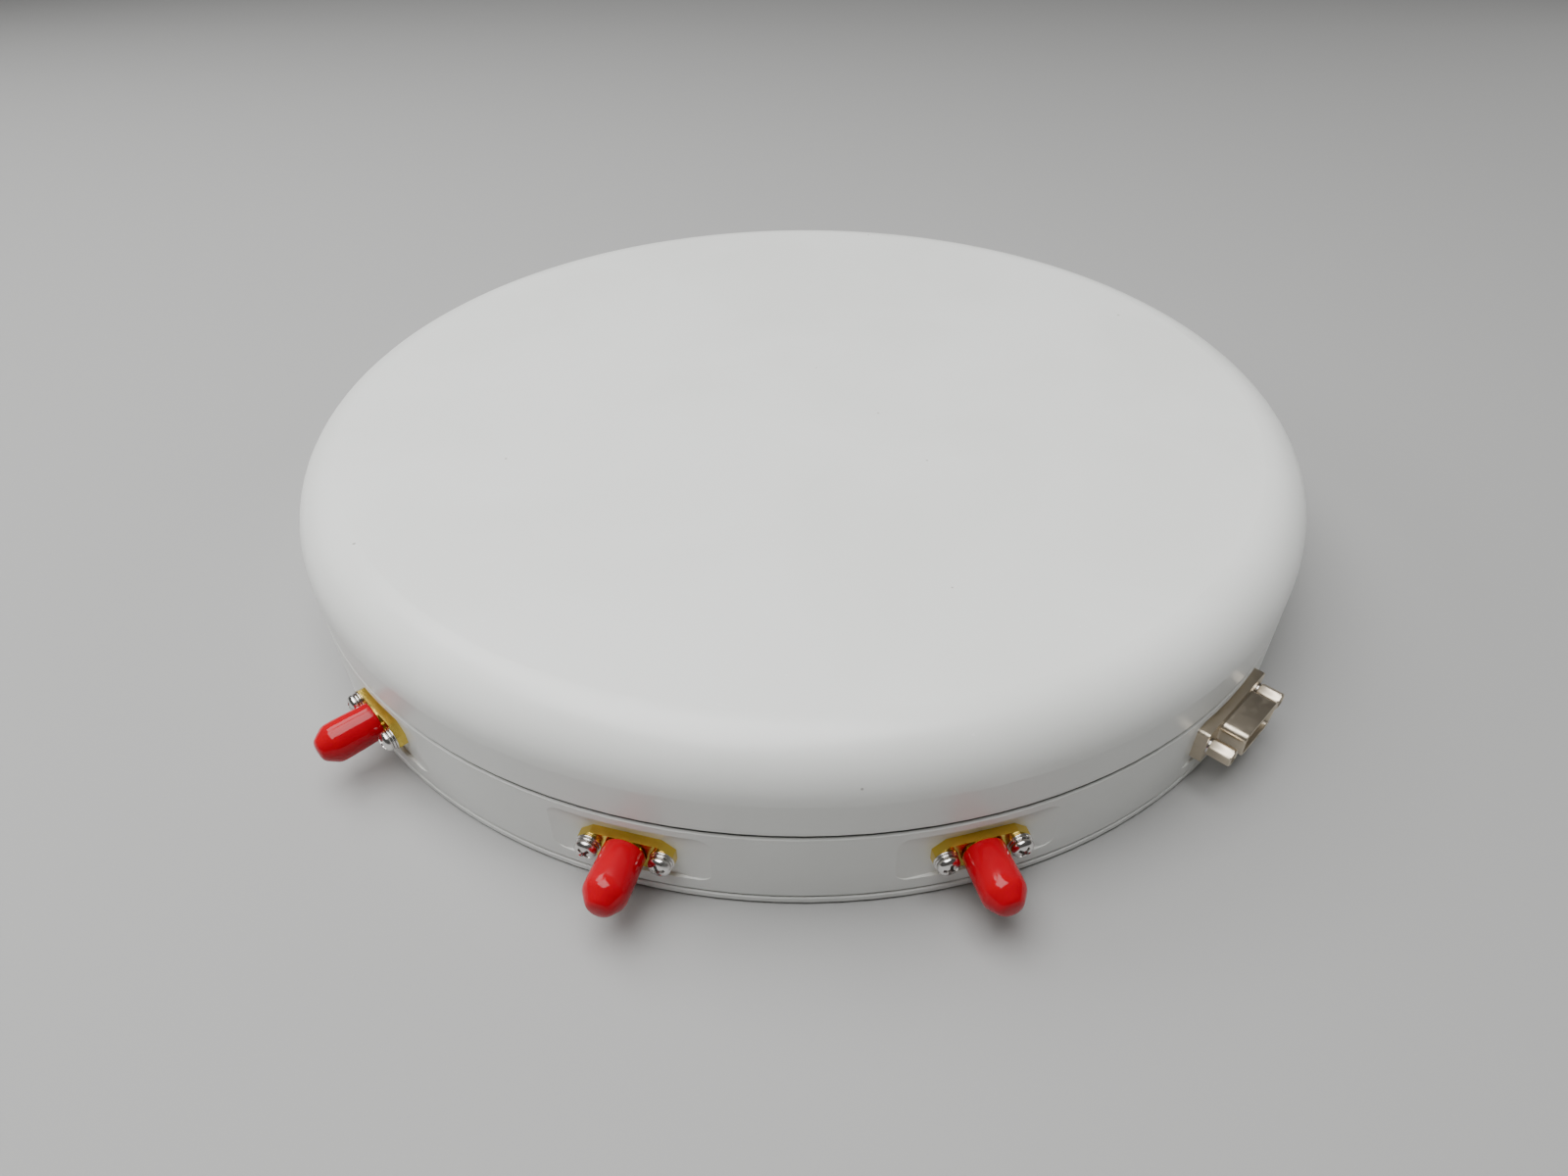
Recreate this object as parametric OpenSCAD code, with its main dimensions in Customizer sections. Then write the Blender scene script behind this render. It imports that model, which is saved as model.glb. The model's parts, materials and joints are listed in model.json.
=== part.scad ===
/* [Body] */
// Outer diameter of the radome and base
body_dia = 210; // [160:1:300]
// Overall height from the bottom face to the top of the radome
height = 33.8; // [28:0.2:60]
// Radius of the rounded shoulder of the radome
shoulder_r = 9.6; // [4:0.2:11]
// Wall thickness of the radome
radome_t = 3; // [2:0.5:5]
// Height of the joint line between radome and base
seam_z = 17; // [14:0.5:22]
// Thickness of the seal in the joint line
seam_gap = 0.5; // [0.3:0.1:1]
// Wall thickness of the base ring
wall_t = 6.5; // [5.5:0.5:9]
// Thickness of the deck across the base
deck_t = 2.4; // [2:0.2:4]
// Thickness of the bottom plate
plate_t = 1.5; // [1:0.1:3]
// Thickness of the gasket above the bottom plate
gasket_t = 0.3; // [0.2:0.1:0.6]
// Small chamfer on the outer edges at the joint lines
edge_c = 0.35; // [0.1:0.05:0.6]

/* [Fixing] */
// Number of screws around the radome and around the bottom plate
ring_screws = 12; // [8:4:16]
// Diameter of the circle of mounting threads in the bottom
mount_pcd = 140; // [100:5:150]
// Diameter of the mounting thread
mount_d = 5; // [4:1:6]
// Depth of the mounting thread
mount_l = 10; // [8:0.5:10.5]
// Outer diameter of the mounting insert
insert_d = 8; // [7:0.5:10]

/* [Connectors] */
// Angle between neighbouring connectors
step_a = 30.3; // [28:0.1:32]
// Length of the milled flat each connector sits on
pocket_w = 27; // [25:0.5:30]
// Height of the milled flat
pocket_h = 10.4; // [8.6:0.2:10.6]
// Corner radius of the milled flat
pocket_r = 2.6; // [1:0.2:3]
// Length of the coaxial jack flange
flange_l = 15.8; // [15:0.1:17]
// Height of the coaxial jack flange
flange_h = 5.7; // [5:0.1:6.5]
// Thickness of the coaxial jack flange
flange_t = 1.6; // [1.2:0.1:2]
// Spacing of the two flange screws
flange_gap = 12.2; // [12:0.1:12.8]
// Diameter of the jack barrel
barrel_d = 6.35; // [6:0.05:6.6]
// Length of the jack barrel in front of the flange
barrel_l = 7.4; // [6:0.1:8]
// Length of the multiway connector flange
plug_l = 21.6; // [20.8:0.2:25]
// Height of the multiway connector flange
plug_h = 6.8; // [6.4:0.1:8.2]
// Thickness of the multiway connector flange
plug_t = 2; // [1.6:0.1:2.8]
// Spacing of the two hexagonal posts
post_gap = 18.16; // [17.6:0.02:18.6]
// Length of the hexagonal posts
post_l = 4; // [3.6:0.2:7]
// Width across the flats of the hexagonal posts
post_af = 3; // [2.8:0.1:4]
// Diameter of the threaded hole in each post
post_hole_d = 1.8; // [1.6:0.1:2]
// Depth of the threaded hole in each post
post_hole_l = 3.4; // [2.4:0.1:5]
// Thickness of the washer under each post
post_washer_t = 0.4; // [0.3:0.1:0.8]
// Depth of the D-shaped shell in front of its flange
shell_l = 4.6; // [4:0.1:7]
// Width of the D-shaped shell
shell_w = 12.6; // [12.2:0.1:13]
// Height of the D-shaped shell
shell_h = 5.4; // [5.2:0.1:5.8]

/* [Caps] */
// Outer diameter of the dust caps
cap_d = 7.3; // [7.2:0.1:7.9]
// Length of the dust caps
cap_l = 10.6; // [10:0.1:12]
// Length of the straight part of a cap
cap_straight = 8; // [6:0.1:8.6]
// Diameter of the blunt end of a cap
cap_tip_d = 4; // [3.6:0.1:5]
// Gap between a cap and the flange behind it
cap_gap = 0.3; // [0.1:0.1:0.6]
// Running clearance between cap and barrel, on the radius
cap_clear = 0.08; // [0.05:0.01:0.1]

/* [Hidden] */
$fn = 96;

// derived heights
body_r = body_dia / 2;
seam_lo = seam_z - seam_gap / 2;
seam_hi = seam_z + seam_gap / 2;
ring_z0 = plate_t + gasket_t;
inner_r = body_r - wall_t;
deck_top = seam_z - 1;
deck_bot = deck_top - deck_t;
room = deck_bot - plate_t;
k = room / 12.1;

// derived rings
boss_ring = body_r - 12.5;
boss_r = 4.2;
plate_ring = body_r - wall_t / 2;
ground_r = boss_ring - boss_r - 1.3;
ground_ring = ground_r - 6;
patch_r = ground_r * 0.31;
patch2_r = patch_r * 0.72;
mount_ring = mount_pcd / 2;
post_r = insert_d / 2 + 2.5;
control_r = mount_ring - post_r - 1;
board_t = 1.6;

// derived stack of the radiating elements
ground_top = deck_top + board_t;
foil_t = 0.3;
top_in = height - radome_t;
head_h = 1.9;
stack_h = top_in - ground_top - head_h - 0.9 - 2 * foil_t;
puck_t = stack_h / 2;
z_foil1 = ground_top + puck_t;
z_puck2 = z_foil1 + foil_t;
z_foil2 = z_puck2 + puck_t;
z_head = z_foil2 + foil_t;

// derived parts under the deck
control_z = plate_t + 3.1 * k;
control_top = control_z + board_t;
amp_t = 1.2;
amp_gap = 2 * k;
amp_z = deck_bot - amp_gap - amp_t;
can_h = 2.8 * k;
amp_s = 21;
patch_ring = mount_ring - post_r - amp_s / 2 - 8;
can_s = 14.6;
feed_off = 5;

// derived connector places
jack_z = seam_z * 0.58;
flat_d = sqrt(body_r * body_r - pocket_w * pocket_w / 4);
flat_in = sqrt(inner_r * inner_r - pocket_w * pocket_w / 4);
jacks = [-1.5 * step_a, -0.5 * step_a, 0.5 * step_a];
plug_a = 1.5 * step_a;
bore_r = 2.05;
rear_r = 2.6;
rear_l = body_r - inner_r + 2;
ferrule_l = 3;
back_t = 1;
socket_r0 = control_r - 7;
socket_s = 5.6;
m2_r = 1;
pin_pitch = 1.27;
row_dz = 0.95;
patches = [0, 120, 240];
stands = [-60, 60, 150, 210];

module at(a, r = 0) { rotate([0, 0, a]) translate([0, -r, 0]) children(); }
module out(r, x = 0, z = 0) { translate([x, -r, z]) rotate([90, 0, 0]) children(); }
module ring(n, r, a0 = 0) { for (i = [0 : n - 1]) at(a0 + i * 360 / n, r) children(); }
module pipe(r1, r2, h) {
    difference() {
        cylinder(r = r2, h = h);
        translate([0, 0, -1]) cylinder(r = r1, h = h + 2);
    }
}

module round_rect(w, h, r) {
    square([w - 2 * r, h], center = true);
    square([w, h - 2 * r], center = true);
    for (x = [-1, 1], y = [-1, 1]) translate([x * (w / 2 - r), y * (h / 2 - r)]) circle(r = r);
}

// ---- radome ----
module dome_profile(r, z0, h, rf) {
    intersection() {
        union() {
            square([r, h - rf]);
            square([r - rf, h]);
            translate([r - rf, h - rf]) circle(r = rf);
        }
        translate([0, z0]) square([r + 1, h - z0 + 1]);
    }
}

module radome_outer() {
    difference() {
        rotate_extrude($fn = 180) dome_profile(body_r, seam_hi, height, shoulder_r);
        rotate_extrude($fn = 180)
            polygon([[body_r - edge_c, seam_hi - 0.1], [body_r + 1, seam_hi - 0.1],
                     [body_r + 1, seam_hi + edge_c + 1], [body_r, seam_hi + edge_c]]);
    }
}

module radome() {
    color("whitesmoke") difference() {
        union() {
            difference() {
                radome_outer();
                rotate_extrude($fn = 180)
                    dome_profile(body_r - radome_t, seam_hi + 5, top_in, shoulder_r - radome_t + 1);
                translate([0, 0, seam_hi - 1]) cylinder(r = inner_r, h = 7, $fn = 180);
            }
            ring(ring_screws, boss_ring) {
                translate([0, 0, deck_top]) cylinder(r = boss_r, h = 9);
                translate([-1.5, -(body_r - radome_t - boss_ring + 1), seam_hi])
                    cube([3, body_r - radome_t - boss_ring + 1, 6.6]);
            }
        }
        ring(ring_screws, boss_ring) translate([0, 0, deck_top - 1]) cylinder(r = 2.6, h = 7);
    }
}

module radome_seal() {
    color("black") translate([0, 0, seam_lo]) pipe(inner_r + 0.6, body_r - 0.55, seam_gap, $fn = 180);
}

module radome_inserts() {
    color("gold") ring(ring_screws, boss_ring) translate([0, 0, deck_top]) pipe(1.6, 2.35, 6);
}

module radome_screws() {
    color("silver") ring(ring_screws, boss_ring) {
        translate([0, 0, deck_bot - 1.8]) difference() {
            cylinder(r = 2.7, h = 1.8);
            translate([0, 0, -1]) cylinder(r = 1.3, h = 2.1, $fn = 6);
        }
        translate([0, 0, deck_bot]) cylinder(r = 1.5, h = deck_t + 5);
    }
}

// ---- base ----
module ring_body() {
    rotate_extrude($fn = 180)
        polygon([[inner_r, ring_z0], [body_r - edge_c, ring_z0], [body_r, ring_z0 + edge_c],
                 [body_r, seam_lo - edge_c], [body_r - edge_c, seam_lo], [inner_r, seam_lo]]);
    translate([0, 0, deck_bot]) cylinder(r = inner_r + 1, h = deck_t, $fn = 180);
    translate([0, 0, deck_bot - 1.6]) pipe(inner_r - 18, inner_r - 16, 2, $fn = 180);
    for (a = [75 : 30 : 285]) at(a) translate([-1, -(inner_r + 1), deck_bot - 1.6])
        cube([2, 12.9, 2]);
    ring(4, mount_ring) translate([0, 0, plate_t]) cylinder(r = post_r, h = deck_bot - plate_t + 0.5);
}

module pocket() {
    out(flat_d, 0, jack_z) linear_extrude(height = 8) round_rect(pocket_w + 0.4, pocket_h, pocket_r);
}

module base_housing() {
    color("whitesmoke") difference() {
        ring_body();
        for (a = jacks) at(a) {
            pocket();
            out(flat_in - 4, 0, jack_z) cylinder(r = rear_r + 0.3, h = wall_t + 9);
            for (s = [-1, 1]) out(flat_d - 4.8, s * flange_gap / 2, jack_z) cylinder(r = 1.15, h = 6);
        }
        at(plug_a) {
            pocket();
            out(flat_in - 4, 0, jack_z) linear_extrude(height = wall_t + 9)
                round_rect(shell_w + 0.8, shell_h + 0.8, 1);
            for (s = [-1, 1]) out(flat_d - 4.8, s * post_gap / 2, jack_z) cylinder(r = 1.15, h = 6);
        }
        ring(ring_screws, boss_ring) {
            translate([0, 0, deck_bot - 0.5]) cylinder(r = 1.8, h = deck_t + 1);
            translate([0, 0, deck_bot - 3]) cylinder(r = 3.1, h = 3);
        }
        ring(ring_screws, plate_ring) translate([0, 0, 0]) cylinder(r = 1.4, h = 9);
        ring(4, mount_ring) translate([0, 0, 0]) cylinder(r = insert_d / 2 + 0.3, h = mount_l);
        ring(6, ground_ring, 15) translate([0, 0, deck_bot - 1]) cylinder(r = 1.4, h = deck_t + 2);
        for (a = patches) at(a, patch_ring) {
            translate([0, 0, deck_bot - 1]) cylinder(r = 1.65, h = deck_t + 2);
            translate([0, -feed_off, deck_bot - 1]) cylinder(r = 1.6, h = deck_t + 2);
        }
    }
}

module bottom_seal() {
    color("black") translate([0, 0, plate_t]) difference() {
        pipe(inner_r + 0.4, body_r - 0.45, gasket_t, $fn = 180);
        ring(ring_screws, plate_ring) translate([0, 0, -1]) cylinder(r = 1.6, h = 3);
    }
}

module bottom_plate() {
    color("whitesmoke") difference() {
        rotate_extrude($fn = 180)
            polygon([[0, 0], [body_r - edge_c, 0], [body_r, edge_c], [body_r, plate_t - edge_c * 0.6],
                     [body_r - edge_c * 0.6, plate_t], [0, plate_t]]);
        ring(ring_screws, plate_ring) {
            translate([0, 0, -1]) cylinder(r = 1.6, h = 4);
            translate([0, 0, -0.01]) cylinder(r1 = 2.75, r2 = 1.6, h = 1.15);
        }
        ring(4, mount_ring) translate([0, 0, -1]) cylinder(r = insert_d / 2 + 0.3, h = 4);
    }
}

module plate_screws() {
    color("silver") ring(ring_screws, plate_ring) difference() {
        union() {
            translate([0, 0, 0.05]) cylinder(r1 = 2.45, r2 = 1.25, h = 1.15);
            translate([0, 0, 0.5]) cylinder(r = 1.25, h = 7.5);
        }
        for (a = [0, 90]) rotate([0, 0, a]) translate([-1.1, -0.22, -0.5]) cube([2.2, 0.44, 1.2]);
    }
}

module mount_inserts() {
    color("silver") ring(4, mount_ring) pipe(mount_d / 2, insert_d / 2, mount_l);
}

// ---- radiating elements above the deck ----
module ground_board() {
    color("darkgreen") translate([0, 0, deck_top]) difference() {
        cylinder(r = ground_r, h = board_t, $fn = 180);
        ring(6, ground_ring, 15) translate([0, 0, -1]) cylinder(r = 1.4, h = 4);
        for (a = patches) at(a, patch_ring) {
            translate([0, 0, -1]) cylinder(r = 1.65, h = 4);
            translate([0, -feed_off, -1]) cylinder(r = 0.9, h = 4);
        }
    }
}

module ground_screws() {
    color("silver") ring(6, ground_ring, 15) difference() {
        union() {
            translate([0, 0, ground_top]) cylinder(r = 2.3, h = 1.5);
            translate([0, 0, deck_bot + 0.2]) cylinder(r = 1.25, h = ground_top - deck_bot);
        }
        for (a = [0, 90]) rotate([0, 0, a]) translate([-1.2, -0.25, ground_top + 0.7]) cube([2.4, 0.5, 2]);
    }
}

module puck(r, z, t) {
    for (a = patches) at(a, patch_ring) translate([0, 0, z]) difference() {
        cylinder(r = r, h = t);
        translate([0, 0, -1]) cylinder(r = 1.65, h = t + 2);
        translate([0, -feed_off, -1]) cylinder(r = 0.75, h = t + 2);
    }
}

module lower_patches() { color("ivory") puck(patch_r, ground_top, puck_t); }
module lower_foils() { color("goldenrod") puck(patch_r * 0.86, z_foil1, foil_t); }
module upper_patches() { color("ivory") puck(patch2_r, z_puck2, puck_t); }

module upper_foils() {
    color("goldenrod") for (a = patches) at(a, patch_ring) translate([0, 0, z_foil2]) difference() {
        cylinder(r = patch2_r * 0.84, h = foil_t);
        translate([0, 0, -1]) cylinder(r = 1.65, h = foil_t + 2);
        translate([0, -feed_off, -1]) cylinder(r = 0.75, h = foil_t + 2);
    }
}

module feed_pins() {
    color("gold") for (a = patches) at(a, patch_ring) translate([0, -feed_off, 0]) {
        translate([0, 0, amp_z]) cylinder(r = 0.6, h = z_head - amp_z);
        translate([0, 0, z_head]) cylinder(r = 1, h = 0.3);
    }
}

module patch_screws() {
    color("linen") for (a = patches) at(a, patch_ring) difference() {
        union() {
            translate([0, 0, z_head]) cylinder(r = 2.7, h = head_h);
            translate([0, 0, deck_bot + 0.1]) cylinder(r = 1.5, h = z_head - deck_bot);
        }
        translate([-3, -0.35, z_head + head_h - 0.8]) cube([6, 0.7, 2]);
    }
}

// ---- electronics under the deck ----
module amplifier_boards() {
    color("darkgreen") for (a = patches) at(a, patch_ring) translate([0, 0, amp_z]) difference() {
        translate([-amp_s / 2, -amp_s / 2, 0]) cube([amp_s, amp_s, amp_t]);
        translate([0, -feed_off, -1]) cylinder(r = 0.75, h = 4);
        for (x = [-1, 1], y = [-1, 1]) translate([x * (amp_s / 2 - 1.4), y * (amp_s / 2 - 1.4), -1])
            cylinder(r = 1.1, h = 4);
    }
}

module amplifier_covers() {
    color("silver") for (a = patches) at(a, patch_ring) translate([0, 0, amp_z - can_h]) difference() {
        translate([-can_s / 2, -can_s / 2, 0]) cube([can_s, can_s, can_h]);
        translate([-can_s / 2 + 0.4, -can_s / 2 + 0.4, 0.4]) cube([can_s - 0.8, can_s - 0.8, can_h]);
    }
}

module amplifier_spacers() {
    color("silver") for (a = patches) at(a, patch_ring)
        for (x = [-1, 1], y = [-1, 1]) translate([x * (amp_s / 2 - 1.4), y * (amp_s / 2 - 1.4), 0]) {
            translate([0, 0, amp_z + amp_t]) cylinder(r = 1.3, h = amp_gap);
            translate([0, 0, amp_z]) cylinder(r = 0.9, h = amp_t);
            translate([0, 0, amp_z - 1]) cylinder(r = 1.3, h = 1);
        }
}

module link_pins() {
    color("gold") for (a = patches) at(a, patch_ring)
        translate([0, 9.2, control_top]) cylinder(r = 0.9, h = amp_z - control_top);
}

module control_board() {
    color("darkgreen") translate([0, 0, control_z]) difference() {
        cylinder(r = control_r, h = board_t, $fn = 180);
        for (a = stands) at(a, control_r - 6) translate([0, 0, -1]) cylinder(r = 1.5, h = 4);
    }
}

module control_chips() {
    color("dimgray") translate([0, 0, control_top]) {
        translate([-8, -7, 0]) cube([16, 14, 1.4]);
        translate([-14, -3.5, 0]) cube([4, 7, 1.1]);
        translate([10.5, -3, 0]) cube([4.5, 6, 1.1]);
        for (i = [0 : 4]) translate([-8 + i * 3.4, 9, 0]) cube([1.6, 0.8, 0.7]);
        for (i = [0 : 4]) translate([-8 + i * 3.4, -10, 0]) cube([1.6, 0.8, 0.7]);
        at(0) translate([-3, -30, 0]) cube([6, 6, 2.2 * k]);
        for (x = [-9, 9]) translate([x, -24, 0]) cylinder(r = 2.2, h = 2.6 * k);
    }
}

module control_spacers() {
    color("gold") for (a = stands) at(a, control_r - 6) translate([0, 0, control_top]) difference() {
        cylinder(r = 2.75, h = deck_bot - control_top, $fn = 6);
        translate([0, 0, -1]) cylinder(r = 1.6, h = 4.2);
    }
}

module control_screws() {
    color("silver") for (a = stands) at(a, control_r - 6) difference() {
        union() {
            translate([0, 0, control_z - 1.5]) cylinder(r = 2.3, h = 1.5);
            translate([0, 0, control_z]) cylinder(r = 1.25, h = board_t + 3);
        }
        for (a = [0, 90]) rotate([0, 0, a]) translate([-1.2, -0.25, control_z - 2.5]) cube([2.4, 0.5, 1.7]);
    }
}

module coax_sockets() {
    color("gold") for (a = jacks) at(a) difference() {
        translate([-socket_s / 2, -socket_r0 - socket_s, control_top])
            cube([socket_s, socket_s, jack_z + socket_s / 2 - 0.4 - control_top]);
        out(socket_r0 + 1.5, 0, jack_z) cylinder(r = 0.8, h = 8);
    }
}

module coax_jumpers() {
    r0 = socket_r0 + socket_s;
    r1 = flat_d - rear_l - ferrule_l;
    color("peru") for (a = jacks) at(a) {
        out(r0 - 3, 0, jack_z) cylinder(r = 0.5, h = 4);
        out(r0, 0, jack_z) cylinder(r = 2.2, h = 5);
        out(r0 + 4, 0, jack_z) cylinder(r = 1.8, h = 4);
        out(r0 + 7, 0, jack_z) cylinder(r = 1.1, h = r1 - r0 - 7);
    }
}

// ---- coaxial jacks ----
module flange_shape(l, h, c) {
    polygon([[-l / 2, -h / 2 + c], [-l / 2 + c * 1.3, -h / 2], [l / 2 - c * 1.3, -h / 2], [l / 2, -h / 2 + c],
             [l / 2, h / 2 - c], [l / 2 - c * 1.3, h / 2], [-l / 2 + c * 1.3, h / 2], [-l / 2, h / 2 - c]]);
}

module jack() {
    out(flat_d, 0, jack_z) difference() {
        union() {
            linear_extrude(height = flange_t) flange_shape(flange_l, flange_h, 1.7);
            translate([0, 0, flange_t]) cylinder(r = barrel_d / 2, h = barrel_l);
            translate([0, 0, -rear_l]) cylinder(r = rear_r, h = rear_l + 0.5);
            translate([0, 0, -rear_l - ferrule_l]) pipe(1.25, 1.9, ferrule_l + 0.5);
        }
        translate([0, 0, back_t - rear_l]) cylinder(r = bore_r, h = rear_l + flange_t + barrel_l + 1);
        translate([0, 0, -rear_l - ferrule_l - 1]) cylinder(r = 1.25, h = 6);
        for (s = [-1, 1]) translate([s * flange_gap / 2, 0, -1]) cylinder(r = 1.2, h = flange_t + 2);
    }
}

module jack_left() { color("gold") at(jacks[0]) jack(); }
module jack_middle() { color("gold") at(jacks[1]) jack(); }
module jack_right() { color("gold") at(jacks[2]) jack(); }

module jack_insulators() {
    color("white") for (a = jacks) at(a) out(flat_d - rear_l + back_t, 0, jack_z)
        pipe(0.8, bore_r - 0.1, rear_l - back_t + flange_t + barrel_l - 1.9);
}

module jack_contacts() {
    color("gold") for (a = jacks) at(a) out(flat_d - rear_l - ferrule_l + 0.6, 0, jack_z) difference() {
        cylinder(r = 0.65, h = rear_l + ferrule_l + flange_t + barrel_l - 2.6);
        translate([0, 0, rear_l + ferrule_l + flange_t + barrel_l - 5.6]) cylinder(r = 0.45, h = 4);
    }
}

module cross_head(r, h) {
    difference() {
        intersection() {
            cylinder(r = r, h = h);
            translate([0, 0, h - r * 1.6]) sphere(r = r * 1.6);
        }
        for (a = [45, 135]) rotate([0, 0, a]) translate([-r * 0.6, -0.22, h - 0.8]) cube([r * 1.2, 0.44, 2]);
    }
}

module jack_screws() {
    z0 = flange_t + 0.8;
    color("silver") for (a = jacks, s = [-1, 1]) at(a) out(flat_d, s * flange_gap / 2, jack_z) {
        translate([0, 0, z0]) cross_head(1.9, 1.4);
        translate([0, 0, -4.4]) cylinder(r = m2_r, h = z0 + 4.5);
    }
}

module jack_spring_washers() {
    color("silver") for (a = jacks, s = [-1, 1]) at(a)
        out(flat_d + flange_t + 0.3, s * flange_gap / 2, jack_z) difference() {
            pipe(m2_r + 0.15, 1.95, 0.5);
            rotate([0, 0, 30]) translate([0, -0.15, -1]) cube([3, 0.3, 3]);
        }
}

module jack_flat_washers() {
    color("silver") for (a = jacks, s = [-1, 1]) at(a)
        out(flat_d + flange_t, s * flange_gap / 2, jack_z) pipe(m2_r + 0.15, 2.1, 0.3);
}

module cap() {
    ri = barrel_d / 2 + cap_clear;
    r = cap_d / 2;
    rt = cap_tip_d / 2;
    out(flat_d + flange_t + cap_gap, 0, jack_z) rotate_extrude()
        polygon([[ri, 0], [r - 0.12, 0], [r, 0.15], [r, cap_straight - 0.6], [r - 0.08, cap_straight],
                 [r - 0.45, cap_straight + 0.6], [rt + 0.15, cap_l - 0.6], [rt - 0.3, cap_l - 0.2],
                 [rt - 0.9, cap_l], [0, cap_l], [0, cap_l - 1.3], [1.4, cap_l - 1.5],
                 [ri - 0.1, barrel_l + 0.3], [ri, barrel_l + 0.1]]);
}

module cap_left() { color("red") at(jacks[0]) cap(); }
module cap_middle() { color("red") at(jacks[1]) cap(); }
module cap_right() { color("red") at(jacks[2]) cap(); }

// ---- multiway connector ----
module d_shape(w, h, r, t) {
    union() {
        difference() {
            round_rect(w, h, r);
            for (s = [-1, 1]) polygon([[s * (w / 2 - t), -h / 2 - 1], [s * (w / 2 + 1), -h / 2 - 1],
                                       [s * (w / 2 + 1), h / 2 - r], [s * w / 2, h / 2 - r]]);
        }
        for (s = [-1, 1]) translate([s * (w / 2 - t - r * 0.72), -h / 2 + r]) circle(r = r);
    }
}

module plug_shell() {
    color("rosybrown") at(plug_a) out(flat_d, 0, jack_z) difference() {
        union() {
            linear_extrude(height = plug_t) round_rect(plug_l, plug_h, 0.8);
            linear_extrude(height = plug_t + shell_l) d_shape(shell_w, shell_h, 1.2, 1);
        }
        translate([0, 0, -1]) linear_extrude(height = plug_t + shell_l + 2)
            d_shape(shell_w - 1, shell_h - 1, 0.9, 0.8);
        for (s = [-1, 1]) translate([s * post_gap / 2, 0, -1]) cylinder(r = 1.3, h = plug_t + 2);
    }
}

module plug_insulator() {
    color("dimgray") at(plug_a) out(flat_d - wall_t - 1.5, 0, jack_z) difference() {
        linear_extrude(height = wall_t + 1.5 + plug_t + shell_l - 2.8)
            d_shape(shell_w - 1.4, shell_h - 1.4, 0.8, 0.8);
        pin_field(0.42) translate([0, 0, -1]) cylinder(r = 0.42, h = 30);
    }
}

module pin_field(r) {
    for (i = [0 : 7]) translate([(i - 3.5) * pin_pitch, row_dz, 0]) children();
    for (i = [0 : 6]) translate([(i - 3) * pin_pitch, -row_dz, 0]) children();
}

module plug_contacts() {
    color("gold") at(plug_a) out(flat_d - wall_t - 3, 0, jack_z)
        pin_field(0.3) cylinder(r = 0.3, h = wall_t + 3 + plug_t + shell_l - 1);
}

module plug_posts() {
    z0 = plug_t + post_washer_t;
    color("silver") for (s = [-1, 1]) at(plug_a) out(flat_d, s * post_gap / 2, jack_z) {
        translate([0, 0, z0]) difference() {
            rotate([0, 0, 30]) cylinder(r = post_af / sqrt(3), h = post_l, $fn = 6);
            translate([0, 0, post_l - post_hole_l]) cylinder(r = post_hole_d / 2, h = post_hole_l + 1);
        }
        translate([0, 0, -4.4]) cylinder(r = m2_r, h = z0 + 4.4);
    }
}

module plug_post_washers() {
    color("silver") for (s = [-1, 1]) at(plug_a) out(flat_d + plug_t, s * post_gap / 2, jack_z)
        pipe(m2_r + 0.12, post_af / 2, post_washer_t);
}

module plug_wires() {
    r0 = socket_r0 + socket_s;
    color("royalblue") at(plug_a) out(r0, 0, jack_z)
        pin_field(0.45) cylinder(r = 0.45, h = flat_d - wall_t - 3.2 - r0);
}

module plug_socket() {
    color("black") at(plug_a) translate([-6.5, -socket_r0 - socket_s, control_top])
        cube([13, socket_s, jack_z + 2 - control_top]);
}

radome();
base_housing();
bottom_plate();
radome_seal();
bottom_seal();
radome_screws();
radome_inserts();
plate_screws();
mount_inserts();
ground_board();
ground_screws();
lower_patches();
lower_foils();
upper_patches();
upper_foils();
feed_pins();
patch_screws();
amplifier_boards();
amplifier_covers();
amplifier_spacers();
link_pins();
control_board();
control_chips();
control_spacers();
control_screws();
coax_sockets();
coax_jumpers();
jack_left();
jack_middle();
jack_right();
jack_insulators();
jack_contacts();
jack_screws();
jack_spring_washers();
jack_flat_washers();
cap_left();
cap_middle();
cap_right();
plug_shell();
plug_insulator();
plug_contacts();
plug_posts();
plug_post_washers();
plug_wires();
plug_socket();
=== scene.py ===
"""Looks of the flat radome antenna: finishes, fine meshes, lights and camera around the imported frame."""

import json
import logging
import math
from dataclasses import dataclass
from enum import Enum
from typing import Optional, Sequence, Union

import bmesh
import bpy
from mathutils import Matrix, Vector


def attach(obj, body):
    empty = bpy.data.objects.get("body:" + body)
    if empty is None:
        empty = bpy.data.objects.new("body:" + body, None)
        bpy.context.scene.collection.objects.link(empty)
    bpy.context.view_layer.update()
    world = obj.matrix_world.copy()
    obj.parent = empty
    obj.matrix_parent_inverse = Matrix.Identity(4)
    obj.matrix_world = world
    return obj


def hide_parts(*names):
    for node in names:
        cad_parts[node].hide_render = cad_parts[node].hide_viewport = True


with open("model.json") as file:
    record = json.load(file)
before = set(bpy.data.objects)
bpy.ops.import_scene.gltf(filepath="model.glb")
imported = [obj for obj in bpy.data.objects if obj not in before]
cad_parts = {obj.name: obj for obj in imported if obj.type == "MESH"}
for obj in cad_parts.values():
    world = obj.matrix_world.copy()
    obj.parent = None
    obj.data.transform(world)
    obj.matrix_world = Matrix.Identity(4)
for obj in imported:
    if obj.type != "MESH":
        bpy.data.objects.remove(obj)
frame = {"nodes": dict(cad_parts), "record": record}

LOG = logging.getLogger("antenna")
MM = 0.001
ON_AXIS = 1e-6
Point = tuple[float, float]
Colour = tuple[float, float, float]
Triple = tuple[float, float, float]


# ---------------------------------------------------------------- shader maths

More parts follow.
